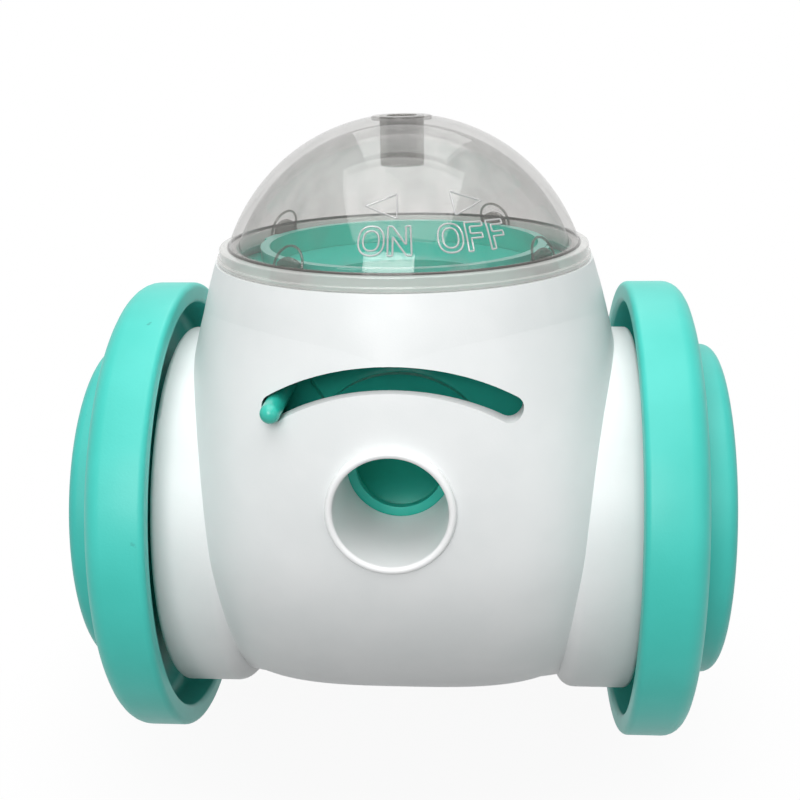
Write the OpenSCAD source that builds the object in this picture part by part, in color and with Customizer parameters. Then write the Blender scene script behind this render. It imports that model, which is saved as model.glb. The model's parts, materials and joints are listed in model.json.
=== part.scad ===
// Treat dispensing toy on two wheels: a white egg-shaped body hung on a steel axle, a clear
// screw-on lid over a hopper, a turning gate with a lever peg, and a round treat outlet.
// Origin: on the floor under the middle of the axle. +Z is up, the front is -Y, the wheels are on X.

/* [Wheels] */
// Radius of the tread
wheel_r = 52.5; // [50:0.5:58]
// Width of the tread along the axle
tread_w = 13; // [11:0.5:16]
// Distance between the inner edges of the two treads
track_gap = 98.6; // [98.2:0.2:106]
// Thickness of the rim wall
rim_t = 4.6; // [3:0.2:5]
// Thickness of the wheel's disc
web_t = 3.6; // [2.4:0.2:4.4]
// Rounding of the tread's outer shoulder
shoulder_r = 4; // [1:0.5:4.4]
// Radius of the hub cap
cap_r = 38; // [26:0.5:40]
// How far the hub cap stands out from the wheel
cap_h = 7.8; // [6:0.2:12]
// Wall of the hub cap
cap_wall = 2; // [1.5:0.1:3]

/* [Axle] */
// Radius of the axle
axle_r = 3; // [2:0.25:3.5]
// Radius of the wheel's hub
hub_r = 8; // [6:0.5:10]
// Wall of the bush round the axle
bush_wall = 2; // [1.5:0.25:2.5]
// Thickness of the bush's flange
bush_flange_t = 1; // [0.8:0.1:1.2]
// Thickness of the thrust washers
washer_t = 0.8; // [0.5:0.1:1]
// Thickness of the push nuts on the axle's ends
nut_t = 1.2; // [0.8:0.1:2]

/* [Body] */
// Largest radius of the egg-shaped body
egg_r = 50; // [49:0.1:50.6]
// Height of the egg's widest place above the axle
egg_z = 8.5; // [7:0.5:9]
// Height of the body's top rim above the axle
rim_z = 59.7; // [58.5:0.2:63.5]
// Outer radius at the top rim
rim_r = 41.5; // [41.3:0.1:42.5]
// Wall of the body
wall = 2.4; // [2:0.1:2.6]
// Height of the egg's bottom that is cut flat
base_cut = 0.6; // [0.4:0.1:1.5]
// Radius of the barrel between the drums, at the middle
barrel_r = 42.2; // [41:0.1:43]
// How much the barrel's radius falls from the middle to a drum
barrel_fall = 3; // [2:0.25:4]
// Radius of the two side drums
drum_r = 42; // [38:0.5:43]
// Distance from the middle to a drum's inner face
drum_in = 35; // [34:0.5:38]
// Distance from the middle to a drum's outer face
drum_out = 51; // [50:0.2:52]
// Rounding of a drum's inner edge
drum_round = 4; // [2:0.5:5]
// Radius of the posts that the body screws go into
post_r = 4.6; // [4.4:0.1:5]
// Distance of the screw posts from the middle
post_x = 31.5; // [30:0.5:33]
// Height of the upper screw posts above the axle
post_up = 31.5; // [30:0.5:33]

/* [Outlet and gate] */
// Height of the outlet's centre above the axle
outlet_z = 18.4; // [17.8:0.2:19.8]
// Radius of the outlet's bore
outlet_r = 11.4; // [9:0.2:12]
// Wall of the outlet chute
chute_wall = 1.5; // [1.2:0.1:1.8]
// How far the outlet's lip stands out from the body
lip_h = 1.4; // [0.8:0.1:2.5]
// Distance from the middle to the front of the gate plate
gate_y = 24; // [23.4:0.1:25]
// Thickness of the gate plate
gate_t = 2; // [1.6:0.1:2.2]
// Radius of the window in the gate plate
window_r = 9.5; // [7:0.25:10]
// Radius of the gate's round head
head_r = 20.5; // [18:0.25:20.75]
// Height of the gate's pivot above the axle
pivot_z = 0; // [-0.5:0.25:0.5]
// Distance from the pivot to the lever peg
lever_r = 44; // [43:0.25:45]
// How far the lever turns from open to shut
lever_turn = 64; // [50:1:64]
// Radius of the lever peg
peg_r = 2; // [1.5:0.1:2.2]
// How far the peg's tip stands out from the body
peg_out = 7; // [4:0.5:10]
// Radius of the gate's pivot pin
pivot_r = 2; // [1.5:0.1:2.2]

/* [Hopper] */
// Radius of the bowl where the dish above it falls into it
bowl_r = 19; // [16:0.2:19.4]
// Radius of the shallow dish above the bowl
dish_r = 29.6; // [28:0.2:31.4]
// Depth of the bowl
bowl_depth = 24; // [20:0.5:26]
// Wall of the hopper
hopper_wall = 2; // [1.6:0.1:2.2]
// Half width of the duct under the bowl, outside
duct_half = 14; // [13:0.25:15]
// Height of the hopper's collar above its seat
collar_h = 7.1; // [7:0.25:8.5]

/* [Lid] */
// Radius of the lid's dome
dome_r = 41; // [40.8:0.1:42]
// Height of the dome's centre above the axle
dome_z = 49; // [48.5:0.25:50.5]
// Wall of the dome
dome_wall = 2; // [1.5:0.1:2.1]
// Height of the band at the foot of the lid
band_h = 3; // [2.4:0.2:4]
// Radius of the toy socket's bore
socket_r = 3.25; // [2.5:0.05:3.5]
// Wall of the socket
socket_wall = 1.5; // [1.2:0.1:2]
// Depth of the socket's bore
socket_depth = 9; // [6:0.5:12]
// Radius of the socket's flange
socket_flange_r = 6.5; // [6:0.25:8]
// First catch's angle from the front
catch_angle = 55; // [50:1:60]

/* [Weight] */
// Height of the weight above the body's floor
weight_h = 13.5; // [8:0.5:15]
// Thickness of the plate over the weight
clamp_t = 2; // [1.5:0.25:3]

/* [Clearances] */
// Running clearance on a pin or axle
run = 0.05; // [0.03:0.01:0.09]
// Clearance of a fixed piece in its seat
seat = 0.1; // [0.05:0.05:0.2]
// Room between pieces that move past each other
room = 0.4; // [0.3:0.05:0.5]

/* [Hidden] */
$fn = 96;
far = 200;
white = [0.93, 0.94, 0.94];
teal = [0.25, 0.78, 0.69];
steel = [0.72, 0.73, 0.75];
smoke = [0.55, 0.54, 0.53, 0.45];

// Wheels and axle, along +X
axle_z = wheel_r;
tread_in = track_gap / 2;
tread_out = tread_in + tread_w;
cap_x = tread_out + cap_h;
bush_r = axle_r + bush_wall;
bush_len = 4;
bush_rim = 3;
bush_flange_r = bush_r + bush_rim;
washer_x = drum_out + bush_flange_t + run;
washer_rim = 4;
washer_r = axle_r + washer_rim;
hub_x = washer_x + washer_t + run;
nut_x = tread_out + run;
nut_rim = 3;
nut_r = axle_r + nut_rim;
axle_half = nut_x + nut_t + 1;
lip_round = 1.2;
cap_round = 3;

// The egg's upper side is an arc that leaves its widest place upright and ends at the rim
egg_at = axle_z + egg_z;
rim_at = axle_z + rim_z;
base_z = egg_at - egg_r + base_cut;
egg_rise = rim_at - egg_at;
egg_fall = egg_r - rim_r;
side_r = (egg_rise * egg_rise + egg_fall * egg_fall) / (2 * egg_fall);
crown_r = (drum_in * drum_in + barrel_fall * barrel_fall) / (2 * barrel_fall);
function egg_radius(z) = egg_r - side_r + sqrt(side_r * side_r - (z - egg_at) * (z - egg_at));

// Rim and hopper seat
ledge_z = rim_at - 4.2;
ledge_t = 2.5;
rim_in_r = rim_r - wall;
flange_r = rim_in_r - seat;
flange_t = 2;
collar_r = dish_r + hopper_wall;
ledge_r = collar_r + 1.1;
bowl_top = ledge_z + flange_t;
dish_drop = 2.5;
dish_z = bowl_top - dish_drop;
bowl_fall = bowl_depth - dish_drop;
bowl_sphere = (bowl_r * bowl_r + bowl_fall * bowl_fall) / (2 * bowl_fall);
bowl_centre = bowl_top - bowl_depth + bowl_sphere;

// Outlet and gate
pivot_at = axle_z + pivot_z;
outlet_at = axle_z + outlet_z;
lip_y = egg_radius(outlet_at) + lip_h;
chute_r = outlet_r + chute_wall;
chute_rim = 1.8;
chute_flange_r = chute_r + chute_rim;
chute_flange_y = sqrt(pow(egg_radius(outlet_at) - wall, 2) - chute_flange_r * chute_flange_r) - 0.5;
chute_flange_t = 1.8;
chute_end = gate_y + room;
gate_back = gate_y - gate_t;
window_d = outlet_at - pivot_at;
lever_rest = lever_turn / 2;
blank_r = outlet_r + 2;
lever_z = pivot_at + lever_r * cos(lever_rest);
lever_x = lever_r * sin(lever_rest);
peg_tip = sqrt(pow(egg_radius(lever_z), 2) - lever_x * lever_x) + peg_out;
slot_half = peg_r + 0.5;
slot_steps = 24;
end_steps = 10;
end_step = 180 / (end_steps + 2);
boss_r = 4.2;
hub_plate_r = pivot_r + 5;
thread_r = 1.4;
thread_len = 11;
gate_washer_r = pivot_r + 2.4;
gate_washer_t = 0.6;
gate_head_r = pivot_r + 1.6;
gate_head_t = 2;

// Duct under the bowl, open at the front where it meets the gate
duct_front = gate_back - room;
duct_rear = 1;
duct_floor = pivot_at + gate_washer_r + 0.8;
duct_slope = 6;
duct_top = bowl_top - bowl_depth + 2 * hopper_wall;
bowl_out_r = bowl_sphere + hopper_wall + seat;
plate_back = duct_front - hopper_wall;
plate_top = bowl_centre - sqrt(max(0, bowl_out_r * bowl_out_r - plate_back * plate_back)) - seat;
front_half = post_x - post_r - room;

// Lid
dome_at = axle_z + dome_z;
lid_gap = 0.1;
lid_z = rim_at + lid_gap;
band_r = rim_r - 0.4;
band_lip = 1;
crown_z = dome_at + sqrt(dome_r * dome_r - socket_flange_r * socket_flange_r) - 0.6;
socket_out_r = socket_r + socket_wall;
socket_flange_t = 0.8;
socket_top = crown_z + run + socket_flange_t;
socket_floor = 1.5;
catches = 4;
catch_w = 8.5;
catch_arch = 9.5;
catch_t = 0.6;
catch_tab_h = 1.2;
tab_r = collar_r + 0.6;
band_in_r = collar_r + 5.2;
dome_foot = lid_z + band_h + run;
lug_turn = 20;
lug_z = lid_z + catch_tab_h + 0.5;
lug_h = 1;
lug_w = 6;
lug_reach = 1;

// Weight in the bottom of the egg
weight_r = egg_r - wall - seat;
weight_z = axle_z - barrel_r + wall + seat;
weight_top = weight_z + weight_h;
clamp_z = weight_top + seat;
clamp_r = sqrt(pow(weight_r, 2) - pow(egg_at - clamp_z, 2)) - 0.5;
rib_z = clamp_z + clamp_t + seat;
rib_t = 2;
rib_in_r = clamp_r - 4;
clamp_screw_x = 14;
clamp_screw_in = 5;
clamp_screw_end = 1;

// Screws
screw_r = 1.5;
screw_head_r = 2.8;
screw_head_t = 2;
screw_seat = 12;
screw_len = 20;
post_low = rib_z + rib_t + post_r + 1.5;
post_high = axle_z + post_up;
posts = [for (x = [-post_x, post_x], z = [post_low, post_high]) [x, z]];

// Shape left outside a rounded corner: at corner p, with the material towards dx, dy
module corner_cut(p, r, dx, dy) {
    translate(p) difference() {
        translate([dx < 0 ? -r : -1, dy < 0 ? -r : -1]) square(r + 1);
        translate([dx * r, dy * r]) circle(r);
    }
}

// Turns a profile of [radius, height] about Z, with its seam at the rear, away from the parting plane
module about_z() {
    rotate(90) rotate_extrude() children();
}

// Turns a profile of [radius, height] about the axle, with heights along +X from the middle
module about_axle() {
    translate([0, 0, axle_z]) rotate([0, 90, 0]) about_z() children();
}

// Round bar along X, from x0 to x1
module bar_x(r, x0, x1) {
    translate([x0, 0, axle_z]) rotate([0, 90, 0]) rotate(90) cylinder(h = x1 - x0, r = r);
}

// Round bar along Y at [x, z], from y0 to y1
module bar_y(r, x, z, y0, y1) {
    translate([x, y1, z]) rotate([90, 0, 0]) cylinder(h = y1 - y0, r = r);
}

// Flat plate upright behind the front, drawn in x and z, from y0 to y1
module plate_y(y0, y1) {
    translate([0, y1, 0]) rotate([90, 0, 0]) linear_extrude(y1 - y0) children();
}

// Everything on one side, for the right or the left wheel
module on_side(side) {
    mirror([side < 0 ? 1 : 0, 0, 0]) children();
}

// Half profile of the egg, moved inwards by t, from its bottom to height top
module egg_profile(t, top) {
    intersection() {
        translate([0, egg_at]) circle(egg_r - t);
        translate([0, base_z + t]) square([egg_r, egg_at - base_z - t]);
    }
    intersection() {
        translate([egg_r - side_r, egg_at]) circle(side_r - t, $fn = 360);
        translate([0, egg_at]) square([egg_r, top - egg_at]);
    }
}

// Half profile of the barrel about the axle, moved inwards by t
module barrel_profile(t) {
    half = drum_in + wall / 2 - t / 3;
    intersection() {
        translate([barrel_r - crown_r, 0]) circle(crown_r - t, $fn = 360);
        translate([0, -half]) square([barrel_r, 2 * half]);
    }
}

// Egg and barrel together, moved inwards by t, up to height top
module body_solid(t, top) {
    about_z() egg_profile(t, top);
    about_axle() barrel_profile(t);
}

module drum(side) {
    on_side(side) about_axle() difference() {
        translate([0, drum_in]) square([drum_r, drum_out - drum_in]);
        corner_cut([drum_r, drum_in], drum_round, -1, 1);
        corner_cut([drum_r, drum_out], 1, -1, -1);
    }
}

module drum_hollow(side) {
    on_side(side) bar_x(drum_r - wall, drum_in + wall, drum_out - wall);
}

// Points along an arc of radius r about centre c, in n steps, with angles from straight up to the right
function arc(c, r, a0, a1, n) = [for (k = [0:n]) let (a = a0 + (a1 - a0) * k / n) c + r * [sin(a), cos(a)]];

// Arc slot for the lever peg, drawn in x and z
module slot_outline() {
    pivot = [0, pivot_at];
    right_end = pivot + lever_r * [sin(lever_rest), cos(lever_rest)];
    left_end = pivot + lever_r * [-sin(lever_rest), cos(lever_rest)];
    polygon(concat(
        arc(pivot, lever_r + slot_half, -lever_rest, lever_rest, slot_steps),
        arc(right_end, slot_half, lever_rest + end_step, lever_rest + 180 - end_step, end_steps),
        arc(pivot, lever_r - slot_half, lever_rest, -lever_rest, slot_steps),
        arc(left_end, slot_half, 180 - lever_rest + end_step, 360 - lever_rest - end_step, end_steps)
    ));
}

// The white body before it is parted into two halves
module whole_shell() {
    difference() {
        union() {
            difference() {
                union() {
                    intersection() {
                        body_solid(0, rim_at);
                        translate([-drum_out, -far, 0]) cube([2 * drum_out, 2 * far, far]);
                    }
                    drum(1);
                    drum(-1);
                }
                body_solid(wall, rim_at + 1);
                drum_hollow(1);
                drum_hollow(-1);
            }
            // Ledge under the hopper's flange, and the rib over the weight's clamp
            intersection() {
                body_solid(wall / 2, rim_at);
                about_z() {
                    translate([ledge_r, ledge_z - ledge_t]) square([far, ledge_t]);
                    translate([rib_in_r, rib_z]) square([far, rib_t]);
                }
            }
            // Screw posts, from wall to wall
            intersection() {
                for (p = posts) bar_y(post_r, p[0], p[1], -egg_r, egg_r);
                body_solid(wall / 2, rim_at);
            }
        }
        // Straight seat for the hopper's flange inside the rim
        translate([0, 0, ledge_z]) rotate(90) cylinder(h = far, r = rim_in_r);
        bar_x(bush_r + seat / 2, -far, far);
    }
}

module front_shell() {
    color(white) difference() {
        union() {
            intersection() {
                whole_shell();
                translate([-far, -far, 0]) cube([2 * far, far, far]);
            }
            intersection() {
                bar_y(boss_r, 0, pivot_at, -egg_r, -chute_end);
                body_solid(wall / 2, rim_at);
            }
        }
        bar_y(chute_r + seat, 0, outlet_at, -far, -chute_end);
        plate_y(-far, -gate_back) slot_outline();
        bar_y(thread_r + run, 0, pivot_at, -chute_end - thread_len - 1, -gate_back);
        for (p = posts) bar_y(screw_r + run, p[0], p[1], screw_seat - screw_len - 1, 1);
    }
}

module rear_shell() {
    color(white) difference() {
        intersection() {
            whole_shell();
            translate([-far, 0, 0]) cube([2 * far, far, far]);
        }
        for (p = posts) {
            bar_y(screw_r + seat, p[0], p[1], -1, far);
            bar_y(screw_head_r + seat, p[0], p[1], screw_seat, far);
        }
    }
}

module shell_screws() {
    color(steel) for (p = posts) difference() {
        union() {
            bar_y(screw_r, p[0], p[1], screw_seat - screw_len, screw_seat);
            bar_y(screw_head_r, p[0], p[1], screw_seat, screw_seat + screw_head_t);
        }
        for (a = [0, 90]) translate([p[0], screw_seat + screw_head_t, p[1]]) rotate([0, a, 0])
            cube([screw_head_r, 2, 0.7], center = true);
    }
}

module outlet_chute() {
    color(white) difference() {
        translate([0, 0, outlet_at]) rotate([90, 0, 0]) rotate_extrude() difference() {
            union() {
                translate([outlet_r, chute_end]) square([chute_wall, lip_y - chute_end]);
                translate([outlet_r, chute_flange_y - chute_flange_t])
                    square([chute_flange_r - outlet_r, chute_flange_t]);
            }
            corner_cut([outlet_r, lip_y], chute_wall / 2, 1, -1);
            corner_cut([chute_r, lip_y], chute_wall / 2, -1, -1);
        }
        bar_y(boss_r + seat, 0, pivot_at, -far, 0);
    }
}

module gate_outline() {
    translate([0, pivot_at]) difference() {
        union() {
            translate([0, window_d]) circle(head_r);
            rotate(lever_turn) translate([0, window_d]) circle(blank_r);
            circle(hub_plate_r);
            rotate(lever_rest) {
                translate([-peg_r * 2, 0]) square([peg_r * 4, lever_r]);
                translate([0, lever_r]) circle(peg_r * 2);
            }
        }
        circle(pivot_r + run);
        translate([0, window_d]) circle(window_r);
    }
}

module gate_plate() {
    color(teal) {
        plate_y(-gate_y, -gate_back) gate_outline();
        bar_y(peg_r, -lever_x, lever_z, -peg_tip + peg_r, -gate_back - gate_t / 2);
        translate([-lever_x, -peg_tip + peg_r, lever_z]) sphere(peg_r);
    }
}

module gate_washer() {
    color(steel) difference() {
        bar_y(gate_washer_r, 0, pivot_at, -gate_back + run, -gate_back + run + gate_washer_t);
        bar_y(pivot_r + run, 0, pivot_at, -gate_y, 0);
    }
}

module gate_pivot_screw() {
    head_y = -gate_back + 2 * run + gate_washer_t;
    color(steel) difference() {
        union() {
            bar_y(thread_r, 0, pivot_at, -chute_end - thread_len, -chute_end);
            bar_y(pivot_r, 0, pivot_at, -chute_end, head_y);
            bar_y(gate_head_r, 0, pivot_at, head_y, head_y + gate_head_t);
        }
        for (a = [0, 90]) translate([0, head_y + gate_head_t, pivot_at]) rotate([0, a, 0])
            cube([gate_head_r * 1.2, 2, 0.7], center = true);
    }
}

// Side view of the duct under the bowl, drawn in y and z, moved inwards by t, up to height top
module duct_side(t, top) {
    polygon([
        [-duct_front + (t > 0 ? -1 : 0), duct_floor + t],
        [-duct_rear - t, duct_floor + t + (t > 0 ? duct_slope : 0)],
        [-duct_rear - t, top],
        [-duct_front + t, top]
    ]);
}

module duct(half, t, top) {
    translate([-half, 0, 0]) rotate([90, 0, 90]) linear_extrude(2 * half) duct_side(t, top);
}

// The dish above the bowl, drawn as radius and height: its top surface lowered by t, filled up to top
module dish(t, top) {
    polygon([[0, dish_z - t], [bowl_r, dish_z - t], [dish_r, bowl_top - t], [dish_r + t, bowl_top - t],
        [dish_r + t, top], [0, top]]);
}

module hopper() {
    color(teal) difference() {
        rotate_extrude() {
            intersection() {
                translate([0, bowl_centre]) circle(bowl_sphere + hopper_wall);
                square([collar_r, dish_z]);
            }
            dish(hopper_wall, bowl_top);
            translate([dish_r, ledge_z]) square([flange_r - dish_r, flange_t]);
        }
        translate([0, 0, bowl_centre]) sphere(bowl_sphere);
        rotate_extrude() dish(0, far);
        duct(duct_half - hopper_wall, hopper_wall, bowl_top - bowl_depth + hopper_wall);
    }
}

// Ring on the hopper's flange
module lock_ring() {
    color(teal) rotate_extrude() translate([dish_r, bowl_top + run])
        square([hopper_wall, ledge_z + collar_h - bowl_top - run]);
}

// Lugs round the lock ring that the lid's catches turn under
module lock_lugs() {
    color(teal) for (k = [0:catches - 1]) rotate(k * 360 / catches + catch_angle - 90 + lug_turn)
        translate([0, 0, lug_z]) intersection() {
            translate([0, -lug_w / 2, 0]) cube([collar_r + lug_reach, lug_w, lug_h]);
            difference() {
                cylinder(h = lug_h, r = collar_r + lug_reach);
                translate([0, 0, -1]) cylinder(h = lug_h + 2, r = collar_r + run);
            }
        }
}

// Duct under the bowl, with the front plate that the gate slides along
module feed_duct() {
    color(teal) difference() {
        union() {
            duct(duct_half, 0, duct_top);
            plate_y(-duct_front, -duct_front + hopper_wall) translate([-front_half, duct_floor])
                square([2 * front_half, plate_top - duct_floor]);
        }
        translate([0, 0, bowl_centre]) sphere(bowl_sphere + hopper_wall + seat);
        intersection() {
            duct(duct_half - hopper_wall, hopper_wall, far);
            union() {
                translate([-far, -duct_front + hopper_wall, 0]) cube([2 * far, far, far]);
                bar_y(window_r + 1, 0, outlet_at, -far, 0);
            }
        }
    }
}

// Arch-topped pad, drawn upright at the front and turned to its catch
module catch_arch(k) {
    rotate(k * 360 / catches + catch_angle) plate_y(-far, 0) translate([0, lid_z]) {
        translate([-catch_w / 2, 0]) square([catch_w, catch_arch - catch_w / 2]);
        translate([0, catch_arch - catch_w / 2]) circle(catch_w / 2);
    }
}

module dome_lid() {
    inner_r = dome_r - dome_wall;
    color(smoke) {
        rotate_extrude() difference() {
            intersection() {
                translate([0, dome_at]) circle(dome_r);
                translate([0, dome_foot]) square([far, crown_z - dome_foot]);
            }
            translate([0, dome_at]) circle(inner_r);
            square([socket_out_r + run, far]);
        }
        // Arched pads inside the wall
        intersection() {
            for (k = [0:catches - 1]) catch_arch(k);
            rotate_extrude() intersection() {
                translate([0, dome_at]) difference() {
                    circle(inner_r + dome_wall / 2);
                    circle(inner_r - catch_t / 2);
                }
                translate([0, dome_foot]) square(far);
            }
        }
    }
}

// Band at the foot of the dome, with a tab at the foot of each arched pad
module lid_band() {
    color(smoke) translate([0, 0, lid_z]) {
        rotate_extrude() {
            translate([band_in_r, 0]) square([band_r - band_in_r, band_lip]);
            translate([band_in_r, 0]) square([band_r - 0.5 - band_in_r, band_h]);
        }
        for (k = [0:catches - 1]) rotate(k * 360 / catches + catch_angle) intersection() {
            translate([-catch_w / 2, -band_in_r - 1, 0]) cube([catch_w, band_in_r, catch_tab_h]);
            difference() {
                cylinder(h = catch_tab_h, r = band_in_r + 1);
                translate([0, 0, -1]) cylinder(h = catch_tab_h + 2, r = tab_r);
            }
        }
    }
}

module teaser_socket() {
    color(smoke) rotate_extrude() difference() {
        union() {
            translate([0, socket_top - socket_depth - socket_floor])
                square([socket_out_r, socket_depth + socket_floor]);
            translate([0, socket_top - socket_flange_t]) square([socket_flange_r, socket_flange_t]);
        }
        translate([0, socket_top - socket_depth]) square([socket_r, far]);
        corner_cut([socket_flange_r, socket_top], socket_flange_t / 2, -1, -1);
    }
}

module axle() {
    color(steel) bar_x(axle_r, -axle_half, axle_half);
}

module bush(side) {
    color(white) on_side(side) difference() {
        union() {
            bar_x(bush_r, drum_out - wall - bush_len, drum_out + bush_flange_t);
            bar_x(bush_flange_r, drum_out, drum_out + bush_flange_t);
        }
        bar_x(axle_r + run, 0, far);
    }
}

module left_bush() { bush(-1); }
module right_bush() { bush(1); }

module washer(side) {
    color(steel) on_side(side) difference() {
        bar_x(washer_r, washer_x, washer_x + washer_t);
        bar_x(axle_r + run, 0, far);
    }
}

module left_washer() { washer(-1); }
module right_washer() { washer(1); }

module wheel(side) {
    color(teal) on_side(side) about_axle() difference() {
        union() {
            translate([wheel_r - rim_t, tread_in]) square([rim_t, tread_w]);
            translate([0, tread_out - web_t]) square([wheel_r - 1, web_t]);
            translate([0, hub_x]) square([hub_r, tread_out - hub_x]);
        }
        square([axle_r + run, far]);
        square([washer_r + room, hub_x]);
        corner_cut([wheel_r, tread_out], shoulder_r, -1, -1);
        corner_cut([wheel_r, tread_in], lip_round, -1, 1);
        corner_cut([wheel_r - rim_t, tread_in], lip_round, 1, 1);
    }
}

module left_wheel() { wheel(-1); }
module right_wheel() { wheel(1); }

module push_nut(side) {
    color(steel) on_side(side) difference() {
        bar_x(nut_r, nut_x, nut_x + nut_t);
        bar_x(axle_r, 0, far);
    }
}

module left_push_nut() { push_nut(-1); }
module right_push_nut() { push_nut(1); }

module hub_cap(side) {
    color(teal) on_side(side) about_axle() difference() {
        translate([0, tread_out]) square([cap_r, cap_h]);
        translate([0, tread_out]) square([cap_r - cap_wall, cap_h - cap_wall]);
        corner_cut([cap_r, cap_x], cap_round, -1, -1);
    }
}

module left_hub_cap() { hub_cap(-1); }
module right_hub_cap() { hub_cap(1); }

module balance_weight() {
    color(steel) difference() {
        intersection() {
            about_axle() barrel_profile(wall + seat);
            translate([0, 0, weight_z]) cylinder(h = weight_h, r = clamp_r);
        }
        for (x = [-clamp_screw_x, clamp_screw_x]) translate([x, 0, weight_top - clamp_screw_in - clamp_screw_end])
            cylinder(h = far, r = screw_r + run);
    }
}

module weight_clamp() {
    color(white) difference() {
        translate([0, 0, clamp_z]) cylinder(h = clamp_t, r = clamp_r);
        for (x = [-clamp_screw_x, clamp_screw_x]) translate([x, 0, 0]) cylinder(h = far, r = screw_r + seat);
    }
}

module clamp_screws() {
    color(steel) for (x = [-clamp_screw_x, clamp_screw_x]) translate([x, 0, 0]) {
        translate([0, 0, weight_top - clamp_screw_in])
            cylinder(h = clamp_z + clamp_t - weight_top + clamp_screw_in, r = screw_r);
        translate([0, 0, clamp_z + clamp_t]) cylinder(h = screw_head_t, r = screw_head_r);
    }
}

front_shell();
rear_shell();
shell_screws();
outlet_chute();
gate_plate();
gate_washer();
gate_pivot_screw();
hopper();
feed_duct();
lock_ring();
lock_lugs();
dome_lid();
lid_band();
teaser_socket();
axle();
left_bush();
right_bush();
left_washer();
right_washer();
left_wheel();
right_wheel();
left_push_nut();
right_push_nut();
left_hub_cap();
right_hub_cap();
balance_weight();
weight_clamp();
clamp_screws();
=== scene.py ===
# %% [markdown]
# # A treat dispensing toy on two wheels
# The toy is a white egg-shaped body that hangs on an axle between two teal cup wheels. A clear dome covers a teal
# hopper, a lever peg in an arc slot turns a gate, and treats drop out of the round outlet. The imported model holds
# every piece at its real size. Here the pieces that catch the eye get finer surfaces, and all of them get a finish.

# %% Load the frame
import json
import math

import bmesh
import bpy
import numpy as np
from mathutils import Matrix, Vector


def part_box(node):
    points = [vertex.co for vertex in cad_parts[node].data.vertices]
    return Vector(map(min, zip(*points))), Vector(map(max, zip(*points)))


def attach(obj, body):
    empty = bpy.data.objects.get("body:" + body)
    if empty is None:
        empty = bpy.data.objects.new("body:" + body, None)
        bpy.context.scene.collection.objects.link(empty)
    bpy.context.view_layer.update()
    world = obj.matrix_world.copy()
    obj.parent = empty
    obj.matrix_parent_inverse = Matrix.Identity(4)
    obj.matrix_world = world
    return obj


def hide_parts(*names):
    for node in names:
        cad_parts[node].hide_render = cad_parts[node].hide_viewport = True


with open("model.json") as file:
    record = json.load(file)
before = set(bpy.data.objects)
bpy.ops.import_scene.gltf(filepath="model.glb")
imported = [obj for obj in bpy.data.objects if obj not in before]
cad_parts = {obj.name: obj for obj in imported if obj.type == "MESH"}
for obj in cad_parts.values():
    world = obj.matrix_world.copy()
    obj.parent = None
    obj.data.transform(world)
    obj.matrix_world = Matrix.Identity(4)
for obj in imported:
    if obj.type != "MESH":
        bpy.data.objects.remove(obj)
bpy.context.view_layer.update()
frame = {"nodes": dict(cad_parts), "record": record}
nodes = frame["nodes"]
MM = 0.001

# %% [markdown]
# ## Camera
# The photograph was taken from close by, a little above the toy and a little to its right. The camera's place and
# turn below come from fitting the outlines of both wheels, the caps, the dome and the lid's rim. A small upward shift
# of the film stands for the crop of the photograph.

# %% Place the camera
CAMERA_PLACE = np.array([18.6, -265.0, 160.8]) * MM
CAMERA_YAW = math.radians(-4.37)
CAMERA_PITCH = math.radians(-19.15)
CAMERA_ROLL = math.radians(-1.07)
FOCAL_PIXELS = 1200.0
PHOTO_PIXELS = 800
FILM_WIDTH = 36.0
FILM_SHIFT = 0.05
NEAREST = 0.01


def camera_axes(yaw, pitch, roll):
    """Right, up and forward of a camera that looks along +Y, then is yawed about Z, pitched and rolled."""
    forward = np.array([math.sin(yaw) * math.cos(pitch), math.cos(yaw) * math.cos(pitch), math.sin(pitch)])
    right = np.array([math.cos(yaw), -math.sin(yaw), 0.0])
    up = np.cross(right, forward)
    turned_right = right * math.cos(roll) + up * math.sin(roll)
    turned_up = up * math.cos(roll) - right * math.sin(roll)
    return turned_right, turned_up, forward


right, up, forward = camera_axes(CAMERA_YAW, CAMERA_PITCH, CAMERA_ROLL)
camera_data = bpy.data.cameras.new("camera")
camera_data.sensor_width = FILM_WIDTH
camera_data.lens = FOCAL_PIXELS / PHOTO_PIXELS * FILM_WIDTH
camera_data.shift_y = FILM_SHIFT
camera_data.clip_start = NEAREST
camera = bpy.data.objects.new("camera", camera_data)
camera.matrix_world = Matrix(np.vstack([
    np.column_stack([right, up, -forward, CAMERA_PLACE]), [0, 0, 0, 1]]).tolist())
bpy.context.collection.objects.link(camera)
bpy.context.scene.camera = camera
print("camera lens in mm:", round(camera_data.lens, 1))

# %% [markdown]
# ## Shader arithmetic
# A finish is a small sum: a base plus some noise times a strength. Wiring such sums by hand hides them, so one class
# wraps a socket and turns Python's operators into Math nodes. One method adds any other node, and the short ones below
# it, such as noise and bump, call that method.


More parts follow.
